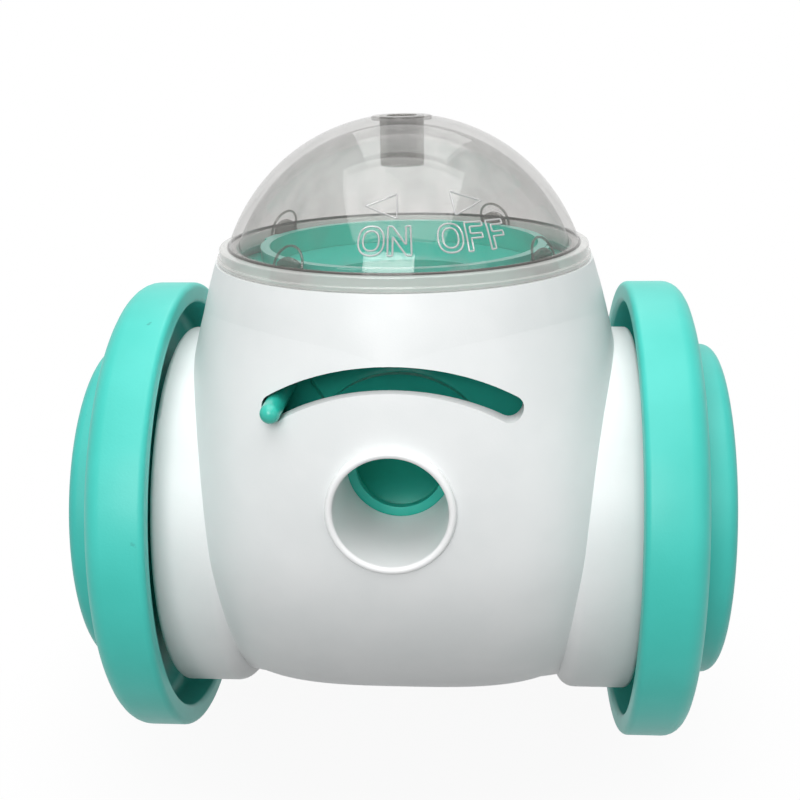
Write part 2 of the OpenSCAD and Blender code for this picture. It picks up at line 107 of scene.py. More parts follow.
# %% Wrap a socket
class Wire:
    """An output socket in a node tree, with operators that add Math nodes."""

    def __init__(self, tree, socket):
        self.tree = tree
        self.socket = socket

    def node(self, kind, settings, inputs, output=0):
        """Adds a node of this kind, sets its settings first, then its sockets, and wraps one output."""
        made = self.tree.nodes.new(kind)
        for key, value in (settings or {}).items():
            setattr(made, key, value)
        for key, value in inputs.items():
            if isinstance(value, Wire):
                self.tree.links.new(value.socket, made.inputs[key])
            else:
                made.inputs[key].default_value = value
        return Wire(self.tree, made.outputs[output])

    def math(self, operation, a, b):
        """One Math node on two values or wires."""
        return self.node("ShaderNodeMath", {"operation": operation}, {0: a, 1: b})

    def __add__(self, other):
        return self.math("ADD", self, other)

    __radd__ = __add__

    def __mul__(self, other):
        return self.math("MULTIPLY", self, other)

    __rmul__ = __mul__

    def __pow__(self, other):
        return self.math("POWER", self, other)

    def noise(self, size_mm, detail):
        """Soft noise from 0 to 1 whose grains are about size_mm wide, on these coordinates."""
        return self.node("ShaderNodeTexNoise", {"noise_dimensions": "3D"},
                         {"Vector": self, "Scale": 1 / (size_mm * MM), "Detail": detail})

    def over(self, low, high):
        """A mask that goes from 0 to 1 as the value goes from low to high."""
        return self.node("ShaderNodeMapRange", {"interpolation_type": "SMOOTHSTEP"},
                         {"Value": self, "From Min": low, "From Max": high})

    def between(self, first, second):
        """Mixes two colours, with this value as the share of the second."""
        return self.node("ShaderNodeMix", {"data_type": "RGBA"},
                         {"Factor": self, 6: (*first, 1), 7: (*second, 1)}, 2)

    def bump(self, depth_mm):
        """A normal that makes this height stand depth_mm proud."""
        return self.node("ShaderNodeBump", None, {"Height": self, "Strength": 1.0, "Distance": depth_mm * MM})


def new_finish(name):
    """An empty node material, and the Object coordinates in it."""
    material = bpy.data.materials.new(name)
    material.use_nodes = True
    material.node_tree.nodes.clear()
    texture = material.node_tree.nodes.new("ShaderNodeTexCoord")
    return material, Wire(material.node_tree, texture.outputs["Object"])


def show(material, shader):
    """Puts a shader on the material's output."""
    output = material.node_tree.nodes.new("ShaderNodeOutputMaterial")
    material.node_tree.links.new(shader.socket, output.inputs["Surface"])
    return material


# %% [markdown]
# ## Finishes
# The white body has the fine satin grain of a spark-eroded mould. The wheels are the same plastic in teal with a
# coarser pebble, and carry a few scuffs. The dome is a thin clear wall: what reaches the eye is mostly what lies behind
# it, dimmed by the smoke tint, with sharp reflections that grow towards the rim. Real glass shaders would need many
# light paths for that, so the wall mixes a see-through share with a glossy one.


# %% Moulded plastic
DRIFT_MM = 14
SCUFF_MM = 3.5
SCUFFED_AREA_MM = 30
SCUFF_TONE = 0.35


def moulded(name, light, dark, grain_mm, grain_depth, roughness, scuffs=0.0, coat=0.0):
    """Moulded plastic: colour drifts between two tones, a fine grain lifts the surface, rare scuffs darken it."""
    material, place = new_finish(name)
    drift = place.noise(DRIFT_MM, 3)
    grain = place.noise(grain_mm, 1.5)
    rubbed = place.noise(SCUFF_MM, 4).over(0.70, 0.74) * place.noise(SCUFFED_AREA_MM, 1).over(0.52, 0.6) * scuffs
    tone = drift.over(0.3, 0.7).between(light, dark)
    colour = place.node("ShaderNodeMix", {"data_type": "RGBA"},
                        {"Factor": rubbed, 6: tone, 7: (*[SCUFF_TONE * c for c in dark], 1)}, 2)
    shader = place.node("ShaderNodeBsdfPrincipled", None, {
        "Base Color": colour,
        "Roughness": drift * 0.08 + (roughness - 0.04) + rubbed * 0.3,
        "Normal": (grain + place.noise(grain_mm * 6, 2) * 0.6).bump(grain_depth),
        "IOR": 1.5, "Coat Weight": coat, "Coat Roughness": 0.18})
    return show(material, shader)


WHITE = moulded("white_body", (0.78, 0.80, 0.80), (0.745, 0.77, 0.77), 0.42, 0.012, 0.42)
# Painted light: the inner white is paler than the body's, to lighten surfaces inside the toy
WHITE_INNER_LIT = moulded("white_inner", (0.84, 0.85, 0.85), (0.81, 0.82, 0.82), 0.6, 0.01, 0.5)
# Painted light: the chute's white is paler than the body's, to lighten the inside of the outlet
WHITE_CHUTE_LIT = moulded("white_chute_painted_light", (0.93, 0.94, 0.94), (0.91, 0.92, 0.92), 0.42, 0.008, 0.36, 0.0, 0.2)
TEAL_WHEEL = moulded("teal_wheel", (0.050, 0.56, 0.485), (0.044, 0.53, 0.455), 0.5, 0.02, 0.44, 0.5, 0.06)
TEAL_CAP = moulded("teal_cap", (0.045, 0.51, 0.445), (0.040, 0.48, 0.42), 0.5, 0.016, 0.44, 0.35, 0.05)
TEAL_GATE = moulded("teal_gate", (0.024, 0.51, 0.40), (0.020, 0.47, 0.37), 0.6, 0.008, 0.3, 0.0, 0.2)
# Painted light: the hopper's teal is paler than the wheels', to make up for the light that the dome takes away
TEAL_HOPPER_LIT = moulded("teal_hopper", (0.050, 0.66, 0.53), (0.045, 0.63, 0.50), 0.8, 0.004, 0.16, 0.0, 0.4)
print("plastics:", [m.name for m in bpy.data.materials if m.name.startswith(("white", "teal"))])


# %% Steel
def bright_steel():
    """Zinc-plated steel: streaks along the axle vary its gloss."""
    material, place = new_finish("steel")
    stretched = place.node("ShaderNodeMapping", None, {"Vector": place, "Scale": (0.08, 1.0, 1.0)})
    streaks = stretched.noise(0.25, 3)
    shader = place.node("ShaderNodeBsdfPrincipled", None, {
        "Base Color": streaks.between((0.60, 0.61, 0.62), (0.50, 0.51, 0.52)), "Metallic": 1.0,
        "Roughness": streaks * 0.2 + 0.2, "Normal": streaks.bump(0.004)})
    return show(material, shader)


STEEL = bright_steel()
print("metal:", STEEL.name)


# %% Smoked clear plastic
def smoked(name, tint, smoke, edge_share, base_share, streak_share=0.0):
    """Thin clear plastic: a tinted see-through share, and a glossy smoke share that grows with the third power of the
    turn away from the eye and in upright streaks. A mirror on top grows with the fourth power."""
    material, place = new_finish(name)
    facing = place.node("ShaderNodeLayerWeight", None, {"Blend": 0.35}, 1)
    flow = place.noise(9, 2)
    clear = place.node("ShaderNodeBsdfTransparent", None, {"Color": (*tint, 1)})
    body = place.node("ShaderNodeBsdfPrincipled", None, {
        "Base Color": flow.between(smoke, [0.85 * c for c in smoke]), "Roughness": 0.04, "IOR": 1.5})
    mirror = place.node("ShaderNodeBsdfAnisotropic", None, {"Color": (1, 1, 1, 1), "Roughness": 0.03})
    streaks = place.node("ShaderNodeMapping", None, {"Vector": place, "Scale": (1.0, 1.0, 0.04)}).noise(7, 1)
    share = facing ** 3 * edge_share + base_share + flow * 0.01 + streaks.over(0.5, 0.68) * streak_share
    tinted = place.node("ShaderNodeMixShader", None, {0: share, 1: clear, 2: body})
    shine = facing ** 4 * 0.45 + 0.035
    return show(material, place.node("ShaderNodeMixShader", None, {0: shine, 1: tinted, 2: mirror}))


SMOKED = smoked("smoked_clear", (0.90, 0.895, 0.89), (0.24, 0.23, 0.22), 0.55, 0.03, 0.08)
SMOKED_MARK = smoked("smoked_mark", (0.93, 0.93, 0.93), (0.70, 0.70, 0.70), 0.3, 0.55)
SMOKED_EDGE = smoked("smoked_edge", (0.74, 0.73, 0.71), (0.22, 0.21, 0.195), 0.5, 0.25)
# Painted shade: a dark smoke for the ring where the dome meets the band
SMOKED_SHADE_LINE = smoked("smoked_painted_shade", (0.40, 0.39, 0.37), (0.10, 0.095, 0.085), 0.2, 0.7)
SMOKED_BAND = smoked("smoked_band", (0.92, 0.915, 0.90), (0.80, 0.80, 0.78), 0.3, 0.5)
SMOKED_SOCKET = smoked("smoked_socket", (0.68, 0.67, 0.65), (0.28, 0.275, 0.26), 0.4, 0.3)
print("clear plastics:", SMOKED.name, SMOKED_SOCKET.name)

# %% Dress every node of the model
FINISH_OF_SLOT = {"white_body": WHITE, "white_inner": WHITE_INNER_LIT, "teal_wheel": TEAL_WHEEL, "teal_cap": TEAL_CAP,
                  "teal_gate": TEAL_GATE, "teal_hopper": TEAL_HOPPER_LIT, "steel": STEEL, "smoked_clear": SMOKED,
                  "smoked_socket": SMOKED_SOCKET}
for part in frame["record"]["subparts"]:
    mesh = nodes[part["node"]].data
    mesh.materials.clear()
    mesh.materials.append(FINISH_OF_SLOT[part["material_slot"]])
# The chute is polished, and its white is made paler than the body round it as painted light in the outlet's recess
nodes["outlet_chute"].data.materials[0] = WHITE_CHUTE_LIT
print("dressed nodes:", len(nodes))

# %% [markdown]
# ## Turned pieces
# Wheels, caps, the dome and the socket are all round about one line. Each is a closed profile with rounded corners,
# carried round that line. A modelled bevel would do, but a profile keeps every radius a number.


# %% Profiles and turning
def filleted(corners, steps=7):
    """A closed outline through corners (u, v, radius): at each corner an arc of that radius touches both sides.
    The arc's centre lies on the corner's bisector, at radius / sin(half angle) from the corner."""
    points = np.array([c[:2] for c in corners], float)
    outline = []
    for before, here, after, radius in zip(np.roll(points, 1, 0), points, np.roll(points, -1, 0),
                                           [c[2] for c in corners]):
        if radius == 0:
            outline.append(here[None])
            continue
        a = (before - here) / np.linalg.norm(before - here)
        b = (after - here) / np.linalg.norm(after - here)
        half = math.acos(np.clip(a @ b, -1, 1)) / 2
        bisector = (a + b) / np.linalg.norm(a + b)
        centre = here + bisector * radius / math.sin(half)
        start = here + a * radius / math.tan(half) - centre
        end = here + b * radius / math.tan(half) - centre
        turn = math.atan2(start[0] * end[1] - start[1] * end[0], start @ end)
        angles = np.linspace(0, turn, steps + 1)
        spun = np.stack([start[0] * np.cos(angles) - start[1] * np.sin(angles),
                         start[0] * np.sin(angles) + start[1] * np.cos(angles)], 1)
        outline.append(centre + spun)
    return np.concatenate(outline)


def arc(centre, radius, first, last, steps):
    """Points on a circle, from the first angle to the last, in degrees from +u towards +v."""
    a = np.radians(np.linspace(first, last, steps + 1))
    return np.stack([centre[0] + radius * np.cos(a), centre[1] + radius * np.sin(a)], 1)


def grid_faces(rows, columns, wrap_rows, wrap_columns):
    """Quads of a grid whose vertex (i, j) has the index i * columns + j, closed where it wraps."""
    i = np.arange(rows if wrap_rows else rows - 1)[:, None]
    j = np.arange(columns if wrap_columns else columns - 1)[None]
    below = (i + 1) % rows
    beside = (j + 1) % columns
    corners = [i * columns + j, i * columns + beside, below * columns + beside, below * columns + j]
    return np.stack(np.broadcast_arrays(*corners), -1).reshape(-1, 4)


SHARP_ANGLE = 40
WELD_M = 1e-7
SLIVER_M = 1e-8


def piece(name, vertices_mm, faces, finish, body, slot, replaced=()):
    """Makes a mesh piece from vertices in mm, welds it, turns its faces outwards, dresses it and lets it ride."""
    mesh = bpy.data.meshes.new(name)
    mesh.from_pydata((np.asarray(vertices_mm) * MM).tolist(), [], [list(f) for f in faces])
    work = bmesh.new()
    work.from_mesh(mesh)
    bmesh.ops.remove_doubles(work, verts=work.verts, dist=WELD_M)
    bmesh.ops.dissolve_degenerate(work, edges=work.edges, dist=SLIVER_M)
    bmesh.ops.recalc_face_normals(work, faces=work.faces)
    work.to_mesh(mesh)
    work.free()
    mesh.shade_smooth()
    mesh.set_sharp_from_angle(angle=math.radians(SHARP_ANGLE))
    mesh.materials.append(finish)
    made = bpy.data.objects.new(name, mesh)
    bpy.context.collection.objects.link(made)
    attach(made, body)
    if replaced:
        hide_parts(*replaced)
    print(name, "has", len(mesh.polygons), "faces")
    return made


def turned(outline, place, steps):
    """Carries a closed outline of (radius, height) round a line: place maps radius, turn and height to x, y, z."""
    turn = np.linspace(0, 2 * np.pi, steps, endpoint=False)
    radius, height = outline[:, 0][:, None], outline[:, 1][:, None]
    spread = np.stack(np.broadcast_arrays(*place(radius, turn[None], height)), -1).reshape(-1, 3)
    return spread, grid_faces(len(outline), steps, True, True)


# %% [markdown]
# ## Wheels and hub caps
# Each wheel is a shallow cup, open towards the body: a rim with a rounded outer shoulder, a disc, and a hub on the
# axle. The cap is a lower drum with a soft edge. All are turned about the axle, from the sizes of the model.

# %% Wheels and caps
wheel_low, wheel_high = [np.array(c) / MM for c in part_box("right_wheel")]
cap_high = np.array(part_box("right_hub_cap")[1]) / MM
AXLE_Z = (wheel_low[2] + wheel_high[2]) / 2
WHEEL_R = (wheel_high[2] - wheel_low[2]) / 2
ROUND_STEPS = 200
TREAD_IN = 49.3
TREAD_OUT = 62.3
HUB_IN = wheel_low[0]
RIM_WALL = 4.6
DISC_WALL = 3.6
HUB_R = 8.0
BORE_R = 3.05
CAP_R = 38.0
CAP_FACE = cap_high[0]
CAP_WALL = 2.0
CAP_SINK = 0.4
GROOVE_DEPTH = 0.5


def round_the_axle(side):
    """Places (radius, turn, height) about the axle, with the height along X on one side."""
    def place(radius, turn, height):
        return side * height, radius * np.sin(turn), AXLE_Z + radius * np.cos(turn)
    return place


wheel_outline = filleted([
    (BORE_R, HUB_IN, 0.3), (HUB_R, HUB_IN, 0.8), (HUB_R, TREAD_OUT - DISC_WALL, 1.5),
    (WHEEL_R - RIM_WALL, TREAD_OUT - DISC_WALL, 2.5), (WHEEL_R - RIM_WALL, TREAD_IN, 1.1),
    (WHEEL_R, TREAD_IN, 1.4), (WHEEL_R, TREAD_OUT, 4.2), (CAP_R + 1.2, TREAD_OUT, 0.4),
    (CAP_R + 0.6, TREAD_OUT - GROOVE_DEPTH, 0.3), (CAP_R - 1.0, TREAD_OUT - GROOVE_DEPTH, 0.2),
    (CAP_R - 1.6, TREAD_OUT, 0.2), (BORE_R, TREAD_OUT, 0.3)])
cap_outline = filleted([
    (0.0, CAP_FACE, 0), (CAP_R, CAP_FACE, 2.6), (CAP_R + 0.2, TREAD_OUT - CAP_SINK, 0.2),
    (CAP_R - CAP_WALL, TREAD_OUT - CAP_SINK, 0.2), (CAP_R - CAP_WALL, CAP_FACE - CAP_WALL, 1.0),
    (0.0, CAP_FACE - CAP_WALL, 0)], 9)
for side, word in ((-1, "left"), (1, "right")):
    piece(word + "_wheel_skin", *turned(wheel_outline, round_the_axle(side), ROUND_STEPS), TEAL_WHEEL,
          "wheel_" + word, "teal_wheel", [word + "_wheel"])
    piece(word + "_cap_skin", *turned(cap_outline, round_the_axle(side), ROUND_STEPS), TEAL_CAP,
          "wheel_" + word, "teal_cap", [word + "_hub_cap"])

# %% [markdown]
# ## Full sides of the body
# The model joins an upright egg and a barrel that lies along the axle, which leaves a waist beside the drums. On the
# toy the sides are fuller: its level sections are squarer than circles. The skin here has superellipses as sections,
# |x / a| ^ n + |y / b| ^ n = 1, where b is the depth of the model, a the width of the toy, and n grows from 2 under
# the lid to 3.2 below the outlet. It is worked out as a length along rays from the egg's centre, and it dives into the
# model at its upper and lower border.

# %% Rays from the egg's centre
EGG_R = 50.0
EGG_Z = 61.0
EGG_SIDE = 158.45
EGG_DEPTH = 50.8
BARREL_R = 42.2
BARREL_CROWN = 205.7
BARREL_END = 36.5
SQUARE_TOP = 108.0
SQUARE_FULL = 52.0
SQUARE_POWER = 3.2
LOWEST_TILT = -82
HIGHEST_TILT = 47
RAY_TURNS = 288
RAY_TILTS = 124
ray_turn, ray_tilt = np.meshgrid(np.radians(np.linspace(-180, 180, RAY_TURNS, endpoint=False)),
                                 np.radians(np.linspace(LOWEST_TILT, HIGHEST_TILT, RAY_TILTS)))
rays = np.stack([np.cos(ray_tilt) * np.sin(ray_turn), -np.cos(ray_tilt) * np.cos(ray_turn), np.sin(ray_tilt)], -1)
print("rays:", ray_turn.size)


def ray_length(inside, reach=80.0, halvings=40):
    """How far the rays go before a test of points says that they left the form, found by halving."""
    low, high = np.zeros(ray_turn.shape), np.full(ray_turn.shape, reach)
    for _ in range(halvings):
        middle = (low + high) / 2
        within = inside(*np.moveaxis(middle[..., None] * rays, -1, 0))
        low, high = np.where(within, middle, low), np.where(within, high, middle)
    return low


def smooth_step(value, low, high):
    """Goes from 0 to 1 between two values, level at both: 3 t^2 - 2 t^3."""
    t = np.clip((value - low) / (high - low), 0, 1)
    return t * t * (3 - 2 * t)


def egg_reach(z):
    """Radius of the egg at a height over its centre: a sphere below, an arc of a larger circle above."""
    above = EGG_R - EGG_SIDE + np.sqrt(np.maximum(EGG_SIDE ** 2 - z ** 2, 0))
    return np.where(z < 0, np.sqrt(np.maximum(EGG_R ** 2 - z ** 2, 0)), above)


def barrel_reach(x, z):
    """Depth of the barrel at a place along the axle and a height over the egg's centre."""
    x = np.clip(x, -BARREL_END, BARREL_END)
    radius = BARREL_R - BARREL_CROWN + np.sqrt(BARREL_CROWN ** 2 - x ** 2)
    return np.sqrt(np.maximum(radius ** 2 - (z + EGG_Z - AXLE_Z) ** 2, 0))


def in_model(x, y, z):
    """In the egg, or in the barrel between its ends."""
    return (np.hypot(x, y) < egg_reach(z)) | ((np.abs(y) < barrel_reach(x, z)) & (np.abs(x) < BARREL_END))


def in_full_body(x, y, z):
    """In the superellipse at this height. At d below the egg's centre its half width is EGG_R times the cube root of
    1 - (d / EGG_DEPTH) ^ 3. Its power grows with f (2 - f), where f is the squared share of the way down."""
    depth = np.maximum(np.maximum(egg_reach(z), barrel_reach(0 * x, z)), 1e-3)
    low_half = EGG_R * np.cbrt(np.maximum(1 - np.maximum(-z / EGG_DEPTH, 0) ** 3, 1e-9))
    half = np.where(z < 0, low_half, egg_reach(z))
    fall = np.clip((SQUARE_TOP - EGG_Z - z) / (SQUARE_TOP - SQUARE_FULL), 0, 1) ** 2
    power = 2 + (SQUARE_POWER - 2) * fall * (2 - fall)
    return (np.abs(x) / half) ** power + (np.abs(y) / depth) ** power < 1


# %% Body skin
SKIN_LIFT = 0.12
SKIN_DIVE = 0.3
SKIN_SINK = 0.4
UPPER_FADE = 16
LOWER_FADE = (-81, -66)
model_length = ray_length(in_model)
full_length = np.maximum(ray_length(in_full_body), model_length)
skin_height = EGG_Z + full_length * np.sin(ray_tilt)
dive = np.maximum(smooth_step(skin_height, SQUARE_TOP - UPPER_FADE, SQUARE_TOP),
                  1 - smooth_step(np.degrees(ray_tilt), *LOWER_FADE))
skin_outside = (full_length + SKIN_LIFT - SKIN_DIVE * dive)[..., None] * rays + [0, 0, EGG_Z]
skin_inside = (model_length - SKIN_SINK)[..., None] * rays + [0, 0, EGG_Z]
skin_points = np.concatenate([skin_outside, skin_inside[::-1]])
skin_faces = grid_faces(*skin_points.shape[:2], True, True)
body_skin = piece("body_skin", skin_points.reshape(-1, 3), skin_faces, WHITE, "body", "white_body")
print("the skin stands out by", round(float((full_length - model_length).max()), 1), "mm at most")

# %% [markdown]
# ## Holes in the skin
# The skin lies over the slot, the outlet and the screws at the rear, so it needs the same holes as the shells. A hole
# could be left out of the grid, but then its edge would follow the grid. Here a prism is taken away by a Boolean, which
# gives clean edges.


# %% Cut the holes
def cut_through(made, outline, near, far):
    """Cuts a hole along Y through a piece, by taking away a closed prism on an outline of (x, z)."""
    steps = len(outline)
    ring = np.insert(outline, 1, 0, axis=1)
    walls = grid_faces(2, steps, False, True)
    caps = [list(range(steps)), list(range(2 * steps - 1, steps - 1, -1))]
    cutter_mesh = bpy.data.meshes.new("cutter")
    points = np.concatenate([ring + [0, near, 0], ring + [0, far, 0]]) * MM
    cutter_mesh.from_pydata(points.tolist(), [], walls.tolist() + caps)
    work = bmesh.new()
    work.from_mesh(cutter_mesh)
    bmesh.ops.recalc_face_normals(work, faces=work.faces)
    work.to_mesh(cutter_mesh)
    work.free()
    cutter = bpy.data.objects.new("cutter", cutter_mesh)
    bpy.context.collection.objects.link(cutter)
    cut = made.modifiers.new("hole", "BOOLEAN")
    cut.object, cut.operation, cut.solver = cutter, "DIFFERENCE", "EXACT"
    bpy.context.view_layer.update()
    whole = made.data
    made.data = bpy.data.meshes.new_from_object(made.evaluated_get(bpy.context.evaluated_depsgraph_get()))
    made.modifiers.clear()
    made.data.name = whole.name
    bpy.data.objects.remove(cutter)
    bpy.data.meshes.remove(cutter_mesh)
    bpy.data.meshes.remove(whole)


LIP_R = 12.9
OUTLET_Z = 70.9
SCREW_HEAD_R = 2.8
SLOT_R = 44.0
SLOT_HALF = 2.5
SLOT_TURN = 32
CUT_REACH = 70
LIP_GRIP = 0.05
HEAD_ROOM = 0.1
right_end, left_end = [(side * SLOT_R * math.sin(math.radians(SLOT_TURN)),
                        AXLE_Z + SLOT_R * math.cos(math.radians(SLOT_TURN))) for side in (1, -1)]
slot_outline = np.concatenate([
    arc((0, AXLE_Z), SLOT_R + SLOT_HALF, 90 - SLOT_TURN, 90 + SLOT_TURN, 48)[1:-1],
    arc(left_end, SLOT_HALF, 90 + SLOT_TURN, 270 + SLOT_TURN, 16),
    arc((0, AXLE_Z), SLOT_R - SLOT_HALF, 90 + SLOT_TURN, 90 - SLOT_TURN, 48)[1:-1],
    arc(right_end, SLOT_HALF, -90 - SLOT_TURN, 90 - SLOT_TURN, 16)])
cut_through(body_skin, slot_outline, -CUT_REACH, 0)
cut_through(body_skin, arc((0, OUTLET_Z), LIP_R - LIP_GRIP, 0, 360, 96)[:-1], -CUT_REACH, 0)
screw_low, screw_high = [np.array(c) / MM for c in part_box("shell_screws")]
for x in (screw_low[0] + SCREW_HEAD_R, screw_high[0] - SCREW_HEAD_R):
    for z in (screw_low[2] + SCREW_HEAD_R, screw_high[2] - SCREW_HEAD_R):
        cut_through(body_skin, arc((x, z), SCREW_HEAD_R + HEAD_ROOM, 0, 360, 48)[:-1], 0, CUT_REACH)
body_skin.data.set_sharp_from_angle(angle=math.radians(SHARP_ANGLE))
print(body_skin.name, "has", len(body_skin.data.polygons), "faces after the cuts")

# %% [markdown]
# ## Dome lid
# The lid is a thin clear dome on a stepped band. Where the two meet, a dark ring is painted as the shade in that
# crease. Its wall is a sphere inside and out, so the outline is two arcs joined by the foot below and the socket's hole
# above.

# %% Dome
DOME_R = 41.0
DOME_WALL = 2.0
DOME_Z = 101.5
LID_Z = 112.3
BAND_R = 41.1
BAND_STEP = 0.5
BAND_LIP = 1.0
BAND_H = 3.0
BAND_IN = 36.8
FOOT_GAP = 0.05
DOME_FOOT = LID_Z + BAND_H + FOOT_GAP
FLANGE_R = 6.5
CROWN_SINK = 0.6
CROWN_Z = DOME_Z + math.sqrt(DOME_R ** 2 - FLANGE_R ** 2) - CROWN_SINK
CROWN_HOLE = 4.8
CROWN_EDGE = 6.6


def rise(radius, height):
    """Angle above the level, in degrees, at which a sphere of this radius reaches a height over its centre."""
    return math.degrees(math.asin(height / radius))


def round_the_middle(radius, turn, height):
    """Places (radius, turn, height) about Z."""
    return radius * np.sin(turn), -radius * np.cos(turn), height


DOME_IN = DOME_R - DOME_WALL
dome_outside = arc((0, DOME_Z), DOME_R, rise(DOME_R, DOME_FOOT - DOME_Z),
                   math.degrees(math.acos(CROWN_EDGE / DOME_R)), 60)
dome_inside = arc((0, DOME_Z), DOME_IN, math.degrees(math.acos(CROWN_HOLE / DOME_IN)),
                  rise(DOME_IN, DOME_FOOT - DOME_Z), 60)
dome_outline = np.concatenate([dome_outside, [[FLANGE_R, CROWN_Z], [CROWN_HOLE, CROWN_Z]], dome_inside])
piece("dome_skin", *turned(dome_outline, round_the_middle, ROUND_STEPS), SMOKED, "lid", "smoked_clear", ["dome_lid"])

# %% Band under the dome
band_outline = filleted([
    (BAND_IN, LID_Z, 0.2), (BAND_R, LID_Z, 0.2), (BAND_R, LID_Z + BAND_LIP, 0.2),
    (BAND_R - BAND_STEP, LID_Z + BAND_LIP, 0.12), (BAND_R - BAND_STEP, LID_Z + BAND_H, 0.35),
    (BAND_IN, LID_Z + BAND_H, 0.2)], 4)
piece("band_skin", *turned(band_outline, round_the_middle, ROUND_STEPS), SMOKED_BAND, "lid", "smoked_clear",
      ["lid_band"])
# A dark ring at the dome's foot: painted shade in the crease between dome and band
FOOT_R = math.sqrt(DOME_R ** 2 - (DOME_FOOT - DOME_Z) ** 2)
FOOT_SHADE_R = 0.3
FOOT_SHADE_IN = 0.05
FOOT_SHADE_UP = 0.1
foot_shade_line = arc((FOOT_R - FOOT_SHADE_IN, DOME_FOOT + FOOT_SHADE_UP), FOOT_SHADE_R, 0, 360, 12)[:-1]
piece("foot_shade_line", *turned(foot_shade_line, round_the_middle, ROUND_STEPS), SMOKED_SHADE_LINE, "lid", "smoked_clear")

# %% Socket in the crown
SOCKET_RISE = 0.85
SOCKET_TOP = CROWN_Z + SOCKET_RISE
SOCKET_BORE = 3.25
SOCKET_R = 4.75
BORE_FLOOR = SOCKET_TOP - 9.0
TUBE_FOOT = SOCKET_TOP - 10.5
FLANGE_IN = 4.78
FLANGE_FOOT = SOCKET_TOP - 0.8
SOCKET_STEPS = 96
socket_tube = filleted([
    (SOCKET_BORE, BORE_FLOOR, 0.2), (SOCKET_BORE, SOCKET_TOP, 0.15), (SOCKET_R, SOCKET_TOP, 0.15),
    (SOCKET_R, TUBE_FOOT, 0.4), (0.0, TUBE_FOOT, 0), (0.0, BORE_FLOOR, 0)], 4)
socket_flange = filleted([
    (FLANGE_IN, FLANGE_FOOT, 0.1), (FLANGE_R, FLANGE_FOOT, 0.1), (FLANGE_R, SOCKET_TOP, 0.4),
    (FLANGE_IN, SOCKET_TOP, 0.1)], 4)
piece("socket_tube", *turned(socket_tube, round_the_middle, SOCKET_STEPS), SMOKED_SOCKET, "socket", "smoked_socket",
      ["teaser_socket"])
piece("socket_flange", *turned(socket_flange, round_the_middle, SOCKET_STEPS), SMOKED, "socket", "smoked_clear")

# %% [markdown]
# ## Lettering and arrows on the dome
# Two arrows and the words ON and OFF stand on the dome as thin raised outlines. Text objects would do, but they are
# flat and filled. Here each outline is a flat path in millimetres, wrapped on to the sphere, with a small round bead
# carried along it.


# %% Beads on the dome
def on_dome(path, azimuth, elevation, lift):
    """Wraps flat (across, up) points in mm on to the sphere, round a place given in degrees from the front.
    Across becomes a turn about Z, divided by the circle's radius there, and up becomes a rise along the meridian."""
    middle = math.radians(elevation)
    tilt = middle + path[:, 1] / DOME_R
    turn = math.radians(azimuth) + path[:, 0] / (DOME_R * math.cos(middle))
    radius = DOME_R + lift
    return np.stack([radius * np.cos(tilt) * np.sin(turn), -radius * np.cos(tilt) * np.cos(turn),
                     DOME_Z + radius * np.sin(tilt)], 1)


def resampled(path, step=0.35):
    """Even points along a closed flat path."""
    loop = np.vstack([path, path[:1]])
    along = np.concatenate([[0], np.cumsum(np.linalg.norm(np.diff(loop, axis=0), axis=1))])
    even = np.linspace(0, along[-1], max(12, int(along[-1] / step)), endpoint=False)
    return np.stack([np.interp(even, along, loop[:, k]) for k in (0, 1)], 1)


def bead(points, radius, sides=8):
    """A round bead along a closed path: at each point a circle in the plane of the outward and the side direction."""
    ahead = np.roll(points, -1, 0) - np.roll(points, 1, 0)
    ahead /= np.linalg.norm(ahead, axis=1, keepdims=True)
    outward = points - [0, 0, DOME_Z]
    outward /= np.linalg.norm(outward, axis=1, keepdims=True)
    aside = np.cross(ahead, outward)
    turn = np.linspace(0, 2 * np.pi, sides, endpoint=False)
    ring = np.cos(turn)[None, :, None] * aside[:, None] + np.sin(turn)[None, :, None] * outward[:, None]
    return (points[:, None] + radius * ring).reshape(-1, 3), grid_faces(len(points), sides, True, True)


def joined(parts):
    """Puts several (vertices, faces) into one: the faces of each count on from the vertices before it."""
    starts = np.cumsum([0] + [len(vertices) for vertices, _ in parts])
    faces = [[int(v) + int(start) for v in face] for start, part in zip(starts, parts) for face in part[1]]
    return np.concatenate([vertices for vertices, _ in parts]), faces


def oval(width, height, power=2.4, steps=48):
    """A rounded oval: a circle whose sine and cosine are raised to 2 / power."""
    turn = np.linspace(0, 2 * np.pi, steps, endpoint=False)
    c, s = np.cos(turn), np.sin(turn)
    return np.stack([width / 2 * np.sign(c) * np.abs(c) ** (2 / power),
                     height / 2 * np.sign(s) * np.abs(s) ** (2 / power)], 1)


# %% Letters and arrows
LETTER_H = 5.9
STROKE = 0.95
O_WIDTH = 5.0
N_HALF = 2.25
N_SLANT = 2.1
F_HALF = 1.9
F_SHORTER = 0.4
F_RAISED = 0.1
ARROW_TAIL = 2.9
ARROW_TIP = 3.2
ARROW_HALF = 2.7


def letter_o(x):
    """Two ovals, one stroke apart."""
    return [oval(O_WIDTH, LETTER_H) + [x, 0], oval(O_WIDTH - 2 * STROKE, LETTER_H - 2 * STROKE) + [x, 0]]


def letter_n(x):
    """Two posts of half height h at half width w, and a slanted stroke between them."""
    h, w, s = LETTER_H / 2, N_HALF, STROKE
    return [np.array([(-w, -h), (-w, h), (-w + s, h), (w - s, -h + N_SLANT), (w - s, h), (w, h), (w, -h), (w - s, -h),
                      (-w + s, h - N_SLANT), (-w + s, -h)]) + [x, 0]]


